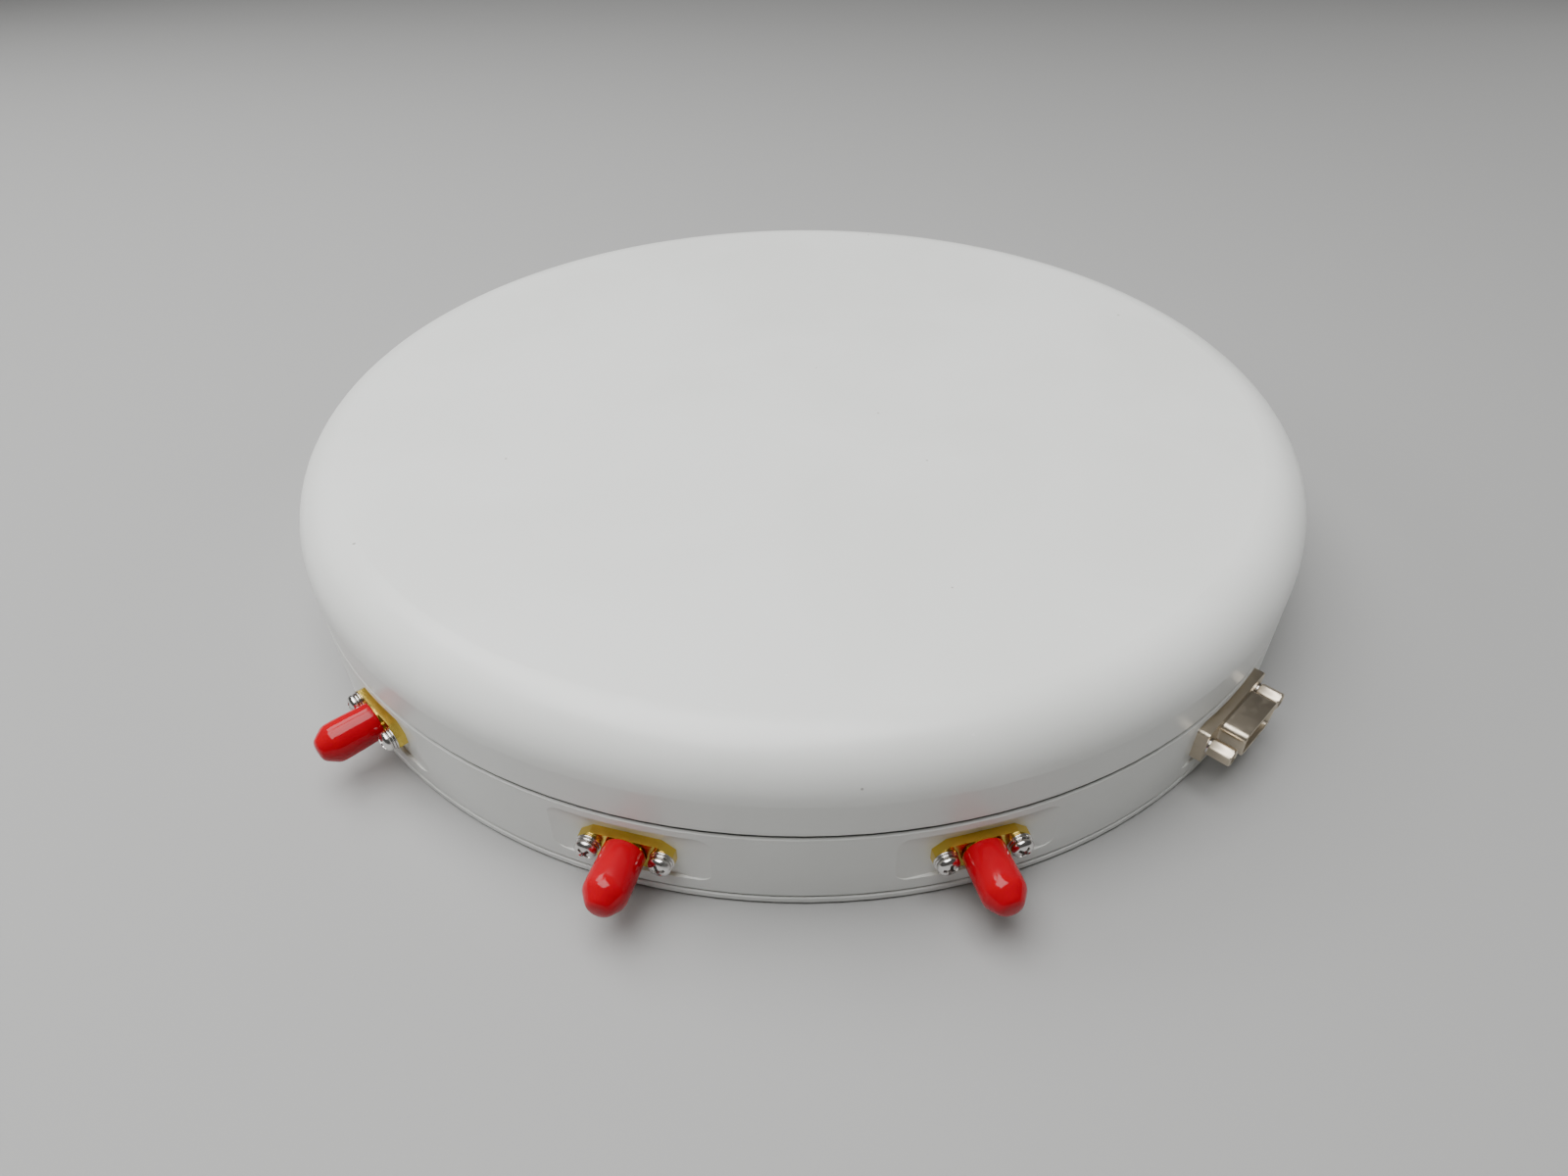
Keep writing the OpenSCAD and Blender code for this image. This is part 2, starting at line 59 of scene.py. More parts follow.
class Wire:
    """One output socket of a material's node tree, with arithmetic written as Python expressions."""

    def __init__(self, sheet: "Sheet", socket: bpy.types.NodeSocket) -> None:
        """Keep the sheet and the socket.

        Args:
            sheet: The material sheet that the socket belongs to.
            socket: The output socket to wrap.
        """
        self.sheet = sheet
        self.socket = socket

    def _maths(self, operation: str, *values: "Operand") -> "Wire":
        """Add one Math node.

        Args:
            operation: The Math node's operation.
            values: The operands in the node's own order.

        Returns:
            The node's result.
        """
        return self.sheet.node("ShaderNodeMath", {"operation": operation}, dict(enumerate(values)))

    def __add__(self, other: "Operand") -> "Wire":
        """Sum."""
        return self._maths("ADD", self, other)

    def __radd__(self, other: "Operand") -> "Wire":
        """Sum with the wire second."""
        return self._maths("ADD", other, self)

    def __sub__(self, other: "Operand") -> "Wire":
        """Difference."""
        return self._maths("SUBTRACT", self, other)

    def __rsub__(self, other: "Operand") -> "Wire":
        """Difference with the wire second."""
        return self._maths("SUBTRACT", other, self)

    def __mul__(self, other: "Operand") -> "Wire":
        """Product."""
        return self._maths("MULTIPLY", self, other)

    def __rmul__(self, other: "Operand") -> "Wire":
        """Product with the wire second."""
        return self._maths("MULTIPLY", other, self)

    def __gt__(self, other: "Operand") -> "Wire":
        """1 where the wire is above the other value, else 0."""
        return self._maths("GREATER_THAN", self, other)

    def __lt__(self, other: "Operand") -> "Wire":
        """1 where the wire is below the other value, else 0."""
        return self._maths("LESS_THAN", self, other)

    def smooth(self, low: float, high: float) -> "Wire":
        """Smooth step.

        Args:
            low: Where the step starts; it may lie above high, for a falling step.
            high: Where the step ends.

        Returns:
            0 at low, 1 at high, smooth between them.
        """
        return self.sheet.node(
            "ShaderNodeMapRange", {"interpolation_type": "SMOOTHSTEP", "clamp": True},
            {"Value": self, "From Min": low, "From Max": high, "To Min": 0.0, "To Max": 1.0})


Operand = Union[int, float, Wire]
Feed = Union[int, float, Sequence[float], Wire]


class Sheet:
    """One material and its node tree, built up node by node."""

    def __init__(self, name: str) -> None:
        """Start a material with a Principled shader joined to its output.

        Args:
            name: The material's name.
        """
        self.material = bpy.data.materials.new(name)
        self.material.use_nodes = True
        self.tree = self.material.node_tree
        self.tree.nodes.clear()
        self.shader = self.tree.nodes.new("ShaderNodeBsdfPrincipled")
        output = self.tree.nodes.new("ShaderNodeOutputMaterial")
        self.tree.links.new(self.shader.outputs[0], output.inputs[0])

    def node(self, kind: str, settings: Optional[dict] = None, inputs: Optional[dict] = None,
             output: Union[int, str] = 0) -> Wire:
        """Add a node, set it up, then feed its sockets.

        Args:
            kind: The node's type.
            settings: Attributes to set first.
            inputs: Values or wires by socket name, identifier or number.
            output: The output socket's name or number.

        Returns:
            The chosen output.
        """
        made = self.tree.nodes.new(kind)
        for key, value in (settings or {}).items():
            setattr(made, key, value)
        for key, value in (inputs or {}).items():
            self._join(self._socket(made, key), value)
        return Wire(self, made.outputs[output])

    @staticmethod
    def _socket(made: bpy.types.Node, key: Union[int, str]) -> bpy.types.NodeSocket:
        """Find an input socket.

        Args:
            made: The node.
            key: The socket's number, identifier or name.

        Returns:
            The socket.
        """
        if isinstance(key, int):
            return made.inputs[key]
        for socket in made.inputs:
            if socket.identifier == key:
                return socket
        return made.inputs[key]

    def _join(self, socket: bpy.types.NodeSocket, value: Feed) -> None:
        """Link a wire to a socket, or set the socket's own value.

        Args:
            socket: The input socket.
            value: A wire, a number, a vector or a colour.
        """
        if isinstance(value, Wire):
            self.tree.links.new(value.socket, socket)
        elif isinstance(value, (int, float)):
            socket.default_value = value
        elif len(socket.default_value) == 4 and len(value) == 3:
            socket.default_value = (*value, 1.0)
        else:
            socket.default_value = value

    def feed(self, **values: Feed) -> None:
        """Feed the shader's sockets.

        Args:
            values: Values or wires by socket name, with _ for each space.
        """
        for key, value in values.items():
            self._join(self.shader.inputs[key.replace("_", " ")], value)

    def place(self, stretch: Optional[Triple] = None) -> Wire:
        """Coordinates in the part's own frame.

        Args:
            stretch: A factor for each axis, or None for none.

        Returns:
            The coordinates, in metres.
        """
        at = self.node("ShaderNodeTexCoord", output="Object")
        if stretch is None:
            return at
        return self.node("ShaderNodeVectorMath", {"operation": "MULTIPLY"}, {0: at, 1: stretch})

    def height(self) -> Wire:
        """Height above the bottom face.

        Returns:
            The height, in metres.
        """
        return self.node("ShaderNodeSeparateXYZ", None, {0: self.place()}, "Z")

    def noise(self, scale: float, detail: float = 2.0, rough: float = 0.5, warp: float = 0.0,
              at: Optional[Wire] = None) -> Wire:
        """Noise from 0 to 1.

        Args:
            scale: Features per metre.
            detail: Octaves.
            rough: How strong the finer octaves are.
            warp: Distortion.
            at: Coordinates, or None for the part's own.

        Returns:
            The noise value.
        """
        return self.node("ShaderNodeTexNoise", {"noise_dimensions": "3D"},
                         {"Vector": at or self.place(), "Scale": scale, "Detail": detail,
                          "Roughness": rough, "Distortion": warp}, "Fac")

    def cells(self, scale: float) -> tuple[Wire, Wire]:
        """Scattered cells.

        Args:
            scale: Cells per metre.

        Returns:
            The distance to the nearest cell's centre, and that cell's own random number.
        """
        inputs = {"Vector": self.place(), "Scale": scale}
        near = self.node("ShaderNodeTexVoronoi", {"feature": "F1"}, inputs, "Distance")
        random = self.node("ShaderNodeTexVoronoi", {"feature": "F1"}, inputs, "Color")
        return near, self.node("ShaderNodeSeparateColor", None, {0: random}, 0)

    def blend(self, amount: Operand, low: Feed, high: Feed) -> Wire:
        """Mix two colours.

        Args:
            amount: 0 for low, 1 for high.
            low: The first colour.
            high: The second colour.

        Returns:
            The mixed colour.
        """
        return self.node("ShaderNodeMix", {"data_type": "RGBA", "clamp_factor": True},
                         {"Factor_Float": amount, "A_Color": low, "B_Color": high}, 2)

    def relief(self, height: Wire, strength: float, depth: float, under: Optional[Wire] = None) -> Wire:
        """Turn a height into a normal.

        Args:
            height: The height, from 0 to 1.
            strength: How much of the relief shows.
            depth: Its depth in metres.
            under: A normal below it, or None.

        Returns:
            The normal.
        """
        inputs: dict = {"Height": height, "Strength": strength, "Distance": depth}
        if under is not None:
            inputs["Normal"] = under
        return self.node("ShaderNodeBump", None, inputs)


# ---------------------------------------------------------------- finishes

@dataclass(frozen=True)
class SatinPaint:
    """Sprayed satin paint: faint clouding, orange peel, dust nibs, grime along the joint, and a painted
    shadow line across the joint and its upper chamfer.
    """

    name: str
    colour: Colour
    cloud: Colour
    roughness: float = 0.42
    peel: float = 0.1
    joint: float = 17 * MM

    def make(self) -> bpy.types.Material:
        """Build the material.

        Returns:
            The finished material.
        """
        sheet = Sheet(self.name)
        clouding = sheet.noise(22.0, 4.0, 0.55, 0.4).smooth(0.35, 0.7)
        tone = sheet.blend(clouding * 0.8, self.colour, self.cloud)
        near, random = sheet.cells(240.0)
        nibs = (near < 0.075) * (random > 0.972)
        tone = sheet.blend(nibs * 0.55, tone, (0.16, 0.14, 0.11))
        near, random = sheet.cells(410.0)
        pits = (near < 0.09) * (random > 0.965)
        tone = sheet.blend(pits * 0.4, tone, (0.9, 0.9, 0.88))
        rise = sheet.height()
        grime = rise.smooth(self.joint - 1.3 * MM, self.joint)
        grime = grime * rise.smooth(self.joint + 1.6 * MM, self.joint)
        streaks = sheet.noise(90.0, 3.0, 0.6, 0.0, sheet.place((1.0, 1.0, 0.1)))
        tone = sheet.blend(grime * streaks * 0.3, tone, (0.30, 0.28, 0.24))
        # Painted shadow: the joint and its upper chamfer are painted near black, standing in for the shade
        # inside the gap.
        joint_shadow = rise.smooth(self.joint - 0.3 * MM, self.joint - 0.2 * MM)
        joint_shadow = joint_shadow * rise.smooth(self.joint + 0.62 * MM, self.joint + 0.5 * MM)
        tone = sheet.blend(joint_shadow * 0.93, tone, (0.035, 0.032, 0.03))
        peel = sheet.noise(1100.0, 2.0, 0.45)
        wave = sheet.noise(150.0, 1.0, 0.4)
        normal = sheet.relief(wave, 0.12, 0.1 * MM)
        normal = sheet.relief(peel, self.peel, 0.03 * MM, normal)
        sheet.feed(Base_Color=tone, Roughness=self.roughness + sheet.noise(60.0, 3.0) * 0.1 - 0.05,
                   Normal=normal, Specular_IOR_Level=0.5)
        return sheet.material


@dataclass(frozen=True)
class DippedVinyl:
    """Glossy dip-moulded vinyl: saturated colour, soft unevenness and a few dull rubs."""

    name: str
    colour: Colour
    deep: Colour
    roughness: float = 0.16

    def make(self) -> bpy.types.Material:
        """Build the material.

        Returns:
            The finished material.
        """
        sheet = Sheet(self.name)
        flow = sheet.noise(160.0, 2.0, 0.5, 0.6).smooth(0.3, 0.75)
        tone = sheet.blend(flow * 0.6, self.colour, self.deep)
        rubs = sheet.noise(420.0, 4.0, 0.7, 0.0, sheet.place((1.0, 1.0, 0.35))).smooth(0.6, 0.75)
        swell = sheet.noise(260.0, 1.0, 0.3)
        grain = sheet.noise(2600.0, 2.0, 0.5)
        normal = sheet.relief(swell, 0.2, 0.1 * MM)
        normal = sheet.relief(grain, 0.06, 0.02 * MM, normal)
        sheet.feed(Base_Color=tone, Roughness=self.roughness + rubs * 0.14, Normal=normal,
                   Specular_IOR_Level=0.26, Subsurface_Weight=0.06, Subsurface_Radius=(1.0, 0.02, 0.02),
                   Subsurface_Scale=0.8 * MM)
        return sheet.material


@dataclass(frozen=True)
class Plated:
    """Plated or bare metal: tint that drifts, fine turning or brushing lines, handling smudges."""

    name: str
    colour: Colour
    tarnish: Colour
    roughness: float = 0.2
    lines: float = 0.1
    along: Triple = (0.06, 0.06, 1.0)
    smudge: float = 0.5

    def make(self) -> bpy.types.Material:
        """Build the material.

        Returns:
            The finished material.
        """
        sheet = Sheet(self.name)
        patches = sheet.noise(330.0, 2.0, 0.5, 0.3).smooth(0.4, 0.78)
        tone = sheet.blend(patches * self.smudge, self.colour, self.tarnish)
        scratch = sheet.noise(5200.0, 3.0, 0.6, 0.0, sheet.place(self.along))
        dust = sheet.noise(420.0, 2.0, 0.5).smooth(0.5, 0.85)
        normal = sheet.relief(scratch, self.lines, 0.02 * MM)
        sheet.feed(Base_Color=tone, Metallic=1.0, Normal=normal,
                   Roughness=self.roughness + scratch * 0.08 + dust * 0.12 + patches * 0.06)
        return sheet.material


@dataclass(frozen=True)
class Moulded:
    """Moulded plastic, rubber or ceramic: fine grain, clouded tone and varied sheen."""

    name: str
    colour: Colour
    cloud: Colour
    roughness: float = 0.5
    grain: float = 0.2
    size: float = 1500.0

    def make(self) -> bpy.types.Material:
        """Build the material.

        Returns:
            The finished material.
        """
        sheet = Sheet(self.name)
        clouding = sheet.noise(120.0, 4.0, 0.6, 0.2)
        tone = sheet.blend(clouding.smooth(0.3, 0.75) * 0.7, self.colour, self.cloud)
        grain = sheet.noise(self.size, 3.0, 0.6)
        sheet.feed(Base_Color=tone, Roughness=self.roughness + clouding * 0.15 - 0.07,
                   Normal=sheet.relief(grain, self.grain, 0.04 * MM))
        return sheet.material


@dataclass(frozen=True)
class BoardLacquer:
    """Circuit board: solder lacquer over copper tracks, with plated holes on a grid."""

    name: str
    lacquer: Colour
    track: Colour
    pitch: float = 2.54 * MM

    def make(self) -> bpy.types.Material:
        """Build the material.

        Returns:
            The finished material.
        """
        sheet = Sheet(self.name)
        bricks = sheet.node("ShaderNodeTexBrick", {"offset": 0.5, "squash": 1.0},
                            {"Vector": sheet.place(), "Scale": 1.0, "Color1": (0.0, 0.0, 0.0),
                             "Color2": (0.15, 0.15, 0.15), "Mortar": (1.0, 1.0, 1.0),
                             "Mortar Size": 0.35 * MM, "Mortar Smooth": 0.1,
                             "Brick Width": 9 * MM, "Row Height": self.pitch}, "Color")
        tracks = sheet.node("ShaderNodeSeparateColor", None, {0: bricks}, 0)
        tone = sheet.blend(tracks * 0.8, self.lacquer, self.track)
        near, random = sheet.cells(1 / (2 * self.pitch))
        holes = (near < 0.16) * (random > 0.35)
        tone = sheet.blend(holes, tone, (0.72, 0.66, 0.5))
        sheet.feed(Base_Color=tone, Roughness=0.32 + sheet.noise(500.0, 3.0) * 0.12,
                   Normal=sheet.relief(tracks, 0.4, 0.05 * MM))
        return sheet.material


@dataclass(frozen=True)
class PaleFloor:
    """Plain pale studio floor with a trace of unevenness."""

    name: str
    colour: Colour

    def make(self) -> bpy.types.Material:
        """Build the material.

        Returns:
            The finished material.
        """
        sheet = Sheet(self.name)
        drift = sheet.noise(3.0, 2.0)
        darker = tuple(0.96 * part for part in self.colour)
        sheet.feed(Base_Color=sheet.blend(drift, self.colour, darker), Roughness=0.62 + drift * 0.1)
        return sheet.material


WHITE_CAP = SatinPaint("radome_white", (0.78, 0.79, 0.765), (0.735, 0.745, 0.715), 0.31, 0.10)
WHITE_BASE = SatinPaint("base_white", (0.76, 0.77, 0.745), (0.70, 0.71, 0.68), 0.35, 0.14)
RED_VINYL = DippedVinyl("red_vinyl", (0.46, 0.0, 0.009), (0.39, 0.0, 0.010), 0.06)
GOLD = Plated("gold_plate", (0.84, 0.62, 0.12), (0.62, 0.46, 0.09), 0.12, 0.08)
STEEL = Plated("bright_steel", (0.78, 0.76, 0.74), (0.60, 0.58, 0.55), 0.14, 0.15)
NICKEL = Plated("warm_nickel", (0.66, 0.58, 0.46), (0.54, 0.47, 0.37), 0.30, 0.012, (0.3, 1.0, 0.6), 0.3)
BRASS = Plated("turned_brass", (0.72, 0.53, 0.24), (0.50, 0.36, 0.16), 0.26, 0.2)
COPPER = Plated("tinned_copper", (0.70, 0.42, 0.28), (0.50, 0.28, 0.17), 0.3, 0.2)
SILVERED = Plated("silvered_foil", (0.82, 0.81, 0.78), (0.66, 0.64, 0.58), 0.28, 0.2)
RUBBER = Moulded("black_rubber", (0.020, 0.020, 0.020), (0.035, 0.034, 0.032), 0.62, 0.35)
BLACK = Moulded("black_plastic", (0.022, 0.022, 0.024), (0.04, 0.04, 0.042), 0.42, 0.25)
NYLON = Moulded("nylon", (0.80, 0.78, 0.70), (0.70, 0.67, 0.58), 0.45, 0.2)
WAXY = Moulded("waxy_insulator", (0.86, 0.86, 0.83), (0.78, 0.78, 0.74), 0.38, 0.12)
CERAMIC = Moulded("patch_ceramic", (0.74, 0.68, 0.56), (0.64, 0.58, 0.47), 0.55, 0.4, 2400.0)
BLUE_WIRE = Moulded("blue_wire_cover", (0.05, 0.13, 0.45), (0.04, 0.09, 0.34), 0.35, 0.1)
BOARD = BoardLacquer("green_board", (0.012, 0.12, 0.045), (0.05, 0.26, 0.10))
FLOOR = PaleFloor("pale_floor", (0.36, 0.36, 0.355))

Finish = Union[SatinPaint, DippedVinyl, Plated, Moulded, BoardLacquer, PaleFloor]


class Paintshop:
    """Makes each finish once and hands it out."""

    _made: dict[str, bpy.types.Material] = {}

    @classmethod
    def get(cls, finish: Finish) -> bpy.types.Material:
        """Hand out a finish's material.

        Args:
            finish: The finish.

        Returns:
            Its material, made at the first call.
        """
        if finish.name not in cls._made:
            cls._made[finish.name] = finish.make()
        return cls._made[finish.name]

    @classmethod
    def dress_nodes(cls, finish: Finish, *names: str) -> None:
        """Give carried-over nodes a finish.

        Args:
            finish: The finish.
            names: The nodes.
        """
        material = cls.get(finish)
        for name in names:
            node = frame["nodes"][name]
            node.data.materials.clear()
            node.data.materials.append(material)
            LOG.info("dressed %s in %s", name, finish.name)


# ---------------------------------------------------------------- meshes

class Shading(Enum):
    """How a piece's faces are smoothed."""

    ROUND = 60.0
    CRISP = 28.0


@dataclass(frozen=True)
class Seat:
    """A place on the base ring: x along the wall, y up, z straight out of the wall."""

    out: Vector
    foot: Vector

    @property
    def matrix(self) -> Matrix:
        """The seat's own axes in the part's frame.

        Returns:
            The turn and shift, in metres.
        """
        up = Vector((0.0, 0.0, 1.0))
        along = up.cross(self.out).normalized()
        turn = Matrix((along, up, self.out)).transposed().to_4x4()
        return Matrix.Translation(self.foot) @ turn


class Solid:
    """A mesh under construction, in millimetres in its own axes."""

    def __init__(self) -> None:
        """Start empty."""
        self.bm = bmesh.new()

    def ring(self, radii: Sequence[float], z: float, shift: Point = (0.0, 0.0),
             turn: float = 0.0) -> list:
        """Add a ring of vertices.

        Args:
            radii: The radius at each step round the ring.
            z: Its height.
            shift: Its centre.
            turn: The angle of its first vertex, in radians.

        Returns:
            The vertices.
        """
        count = len(radii)
        return [self.bm.verts.new((shift[0] + r * math.cos(turn + math.tau * i / count),
                                   shift[1] + r * math.sin(turn + math.tau * i / count), z))
                for i, r in enumerate(radii)]

    def bridge(self, low: list, high: list) -> None:
        """Join two rings of the same length with quads, or a ring and a single vertex with triangles.

        Args:
            low: The first ring.
            high: The second ring.
        """
        count = max(len(low), len(high))
        for i in range(count):
            j = (i + 1) % count
            if len(low) == 1:
                corners = (low[0], high[j], high[i])
            elif len(high) == 1:
                corners = (low[i], low[j], high[0])
            else:
                corners = (low[i], low[j], high[j], high[i])
            self.bm.faces.new(corners)

    def skin(self, rings: Sequence[list]) -> "Solid":
        """Join each ring to the next.

        Args:
            rings: The rings in order; a ring of one vertex closes an end.

        Returns:
            The solid itself.
        """
        for low, high in zip(rings, rings[1:]):
            self.bridge(low, high)
        return self

    def lathe(self, outline: Sequence[Point], steps: int = 64, shift: Point = (0.0, 0.0),
              closed: bool = False) -> "Solid":
        """Turn an outline of (radius, height) points about the axis.

        Args:
            outline: The points, outside going up; a first or last point on the axis closes the end.
            steps: Steps round the axis.
            shift: Where the axis stands.
            closed: Whether the last point joins the first, as on a washer.

        Returns:
            The solid itself.
        """
        rings = []
        for radius, z in outline:
            if radius < ON_AXIS:
                rings.append([self.bm.verts.new((shift[0], shift[1], z))])
            else:
                rings.append(self.ring([radius] * steps, z, shift))
        return self.skin(rings + rings[:1] if closed else rings)

    def prism(self, outline: Sequence[Point], low: float, high: float, edge: float = 0.0) -> "Solid":
        """Raise an outline into a block with rounded top and bottom edges.

        Args:
            outline: The corner points, counter-clockwise.
            low: The bottom.
            high: The top.
            edge: The size of the rounding of every edge.

        Returns:
            The solid itself.
        """
        bottom = [self.bm.verts.new((x, y, low)) for x, y in outline]
        top = [self.bm.verts.new((x, y, high)) for x, y in outline]
        faces = [self.bm.faces.new(bottom[::-1]), self.bm.faces.new(top)]
        count = len(outline)
        for i in range(count):
            j = (i + 1) % count
            faces.append(self.bm.faces.new((bottom[i], bottom[j], top[j], top[i])))
        if edge > 0.0:
            edges = {e for f in faces for e in f.edges if e.calc_face_angle(0.0) > 0.35}
            bmesh.ops.bevel(self.bm, geom=list(edges), offset=edge, segments=3, profile=0.6,
                            affect="EDGES", clamp_overlap=True)
        return self

    def thread(self, crest: float, root: float, low: float, high: float, pitch: float,
               steps: int = 48) -> "Solid":
        """Wind a screw thread round the axis.

        Args:
            crest: The radius of the crests.
            root: The radius of the roots.
            low: Where it starts.
            high: Where it ends.
            pitch: The rise of one turn.
            steps: Steps in one turn.

        Returns:
            The solid itself.
        """
        section = ((root, 0.0), (crest, 0.38), (crest, 0.5), (root, 0.88))
        turns = int((high - low) / pitch) + 2
        rows = []
        for i in range(turns * steps + 1):
            angle = math.tau * i / steps
            base = low - pitch + pitch * i / steps
            rows.append([self.bm.verts.new((r * math.cos(angle), r * math.sin(angle),
                                            min(max(base + share * pitch, low), high)))
                         for r, share in section])
        for i in range(turns * steps):
            here, there = rows[i], rows[i + 1]
            for k in range(3):
                self.bm.faces.new((here[k], there[k], there[k + 1], here[k + 1]))
            if i + steps < len(rows) - 1:
                above, beyond = rows[i + steps], rows[i + steps + 1]
                self.bm.faces.new((here[3], there[3], beyond[0], above[0]))
        return self

    def move(self, matrix: Matrix) -> "Solid":
        """Move everything made so far.

        Args:
            matrix: The move, in the solid's own axes.

        Returns:
            The solid itself.
        """
        self.bm.transform(matrix)
        return self

    def merge(self, other: "Solid") -> "Solid":
        """Take in another solid's faces.

        Args:
            other: The other solid, which is left as it is.

        Returns:
            The solid itself.
        """
        mesh = bpy.data.meshes.new("scratch")
        other.bm.to_mesh(mesh)
        self.bm.from_mesh(mesh)
        bpy.data.meshes.remove(mesh)
        return self

    def piece(self, name: str, place: Optional[Matrix], finish: Finish, body: str, shading: Shading,
              stands_for: Sequence[str] = (), slot: str = "") -> bpy.types.Object:
        """Turn the solid into a finished piece of the model.

        Args:
            name: The piece's name.
            place: Its own axes in the part's frame, in metres, or None where they are the same.
            finish: Its finish.
            body: The body that it rides on.
            shading: How its faces are smoothed.
            stands_for: The carried-over nodes that it stands for.
            slot: The record's material slot; not used.

        Returns:
            The piece.
        """
        self.bm.transform(Matrix.Scale(MM, 4))
        if place is not None:
            self.bm.transform(place)
        bmesh.ops.remove_doubles(self.bm, verts=self.bm.verts, dist=1e-7)
        bmesh.ops.dissolve_degenerate(self.bm, edges=self.bm.edges, dist=1e-7)
        bmesh.ops.recalc_face_normals(self.bm, faces=self.bm.faces)
        mesh = bpy.data.meshes.new(name)
        self.bm.to_mesh(mesh)
        self.bm.free()
        mesh.polygons.foreach_set("use_smooth", [True] * len(mesh.polygons))
        mesh.set_sharp_from_angle(angle=math.radians(shading.value))
        made = bpy.data.objects.new(name, mesh)
        bpy.context.scene.collection.objects.link(made)
        made.data.materials.append(Paintshop.get(finish))
        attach(made, body)
        if stands_for:
            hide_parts(*stands_for)
        LOG.info("built %s: %d faces", name, len(mesh.polygons))
        return made


def rounded(corners: Sequence[Point], radius: float, steps: int = 6) -> list[Point]:
    """Round the corners of a convex outline.

    Args:
        corners: The sharp corners, counter-clockwise.
        radius: The radius of the rounding.
        steps: Steps in each corner.

    Returns:
        The rounded outline.
    """
    outline = []
    count = len(corners)
    for i, corner in enumerate(corners):
        here = Vector(corner)
        before = (Vector(corners[i - 1]) - here).normalized()
        after = (Vector(corners[(i + 1) % count]) - here).normalized()
        half = before.angle(after) / 2
        centre = here + (before + after).normalized() * (radius / math.sin(half))
        start = here + before * (radius / math.tan(half)) - centre
        sweep = math.pi - 2 * half
        for k in range(steps + 1):
            turn = Matrix.Rotation(sweep * k / steps, 2)
            outline.append(tuple(centre + turn @ start))
    return outline


# ---------------------------------------------------------------- coaxial jacks

class Place(Enum):
    """The three jacks, from left to right seen from the front."""

    LEFT = "left"
    MIDDLE = "middle"
    RIGHT = "right"


@dataclass
class CoaxJack:
    """A gold flanged jack with its red dust cap. Sizes in millimetres."""

    place: Place
    flange_half: float = 7.9
    flange_rise: float = 2.85
    corner_x: float = 2.21
    corner_y: float = 1.7
    flange: float = 1.6
    barrel: float = 7.4
    crest: float = 3.175
    root: float = 2.8
    bore: float = 2.05
    rear: float = 8.5
    rear_radius: float = 2.6
    pitch: float = 0.7056
    cap_gap: float = 0.3
    cap_length: float = 10.6
    cap_radius: float = 3.65
    cap_bore: float = 3.255

    def seat(self) -> Seat:
        """Where the jack stands on the wall.

        Returns:
            The seat, with its foot on the milled flat.
        """
        name = f"jack_{self.place.value}_thread"
        mount = next(m for m in frame["record"]["mounts"] if m["name"] == name)
        out = Vector(mount["axis"]).normalized()
        foot = Vector(mount["pos_m"]) - out * (self.flange + self.barrel / 2) * MM
        return Seat(out, foot)

    def build(self) -> None:
        """Build the jack and its cap."""
        self._metal()
        self._cap()

    def _metal(self) -> None:
        """Build the flange, the threaded barrel and the part behind the wall."""
        x, y, a, b = self.flange_half, self.flange_rise, self.corner_x, self.corner_y
        outline = [(-x + a, -y), (x - a, -y), (x, -y + b), (x, y - b),
                   (x - a, y), (-x + a, y), (-x, y - b), (-x, -y + b)]
        solid = Solid().prism(outline, 0.0, self.flange, 0.13)
        low, mouth = self.flange, self.flange + self.barrel
        start, end = low + 0.7, mouth - 0.6
        collar = Solid().lathe([(self.crest, low - 0.05), (self.crest, low + 0.35), (self.root, start),
                                (self.root, start + 0.2)])
        lip = Solid().lathe([(self.root, end - 0.2), (self.root, mouth - 0.25),
                             (self.root - 0.25, mouth), (self.bore + 0.12, mouth),
                             (self.bore, mouth - 0.12), (self.bore, mouth - 4.0)])
        wound = Solid().thread(self.crest, self.root, start, end, self.pitch)
        tail = Solid().lathe([(0.0, -self.rear), (self.rear_radius, -self.rear),
                              (self.rear_radius, 0.05)])
        for part in (collar, wound, lip, tail):
            solid.merge(part)
        solid.piece(f"jack_{self.place.value}_metal", self.seat().matrix, GOLD, "base", Shading.CRISP,
                    [f"jack_{self.place.value}"], "gold")

    def _cap(self) -> None:
        """Build the soft cap, slightly waisted at its mouth and blunt at its end."""
        r, length, bore = self.cap_radius, self.cap_length, self.cap_bore
        outside = [(r - 0.24, 0.0), (r - 0.14, 0.04), (r - 0.08, 0.14), (r - 0.07, 0.4), (r - 0.1, 1.1),
                   (r - 0.08, 2.4), (r - 0.03, 4.2), (r, 6.2), (r - 0.01, 7.3), (r - 0.05, 7.75),
                   (r - 0.16, 8.15), (r - 0.36, 8.5), (r - 0.75, 9.05), (r - 1.15, 9.6), (r - 1.4, 9.93),
                   (r - 1.65, 10.18), (r - 2.0, 10.4), (r - 2.5, 10.54), (r - 3.1, length - 0.005),
                   (0.0, length)]
        inside = [(0.0, length - 1.3), (1.4, length - 1.5), (bore - 0.1, self.barrel + 0.3), (bore, 7.5),
                  (bore, 0.3), (bore + 0.06, 0.06)]
        steps = 72
        solid = Solid()
        rings = []
        for radius, z in inside + outside:
            if radius < ON_AXIS:
                rings.append([solid.bm.verts.new((0.0, 0.0, z))])
                continue
            wobble = 0.0 if radius <= bore + 0.1 else 0.03
            turns = [math.tau * i / steps for i in range(steps)]
            radii = [radius + wobble * (math.sin(2 * t + z * 0.5) * 0.6
                                        + math.sin(3 * t - z * 0.9) * 0.4 - 0.9) for t in turns]
            rings.append(solid.ring(radii, z))
        solid.skin(rings).move(Matrix.Translation((0.0, 0.0, self.flange + self.cap_gap)))
        name = f"cap_{self.place.value}"
        solid.piece(f"dust_{name}", self.seat().matrix, RED_VINYL, name, Shading.ROUND, [name],
                    "red_vinyl")


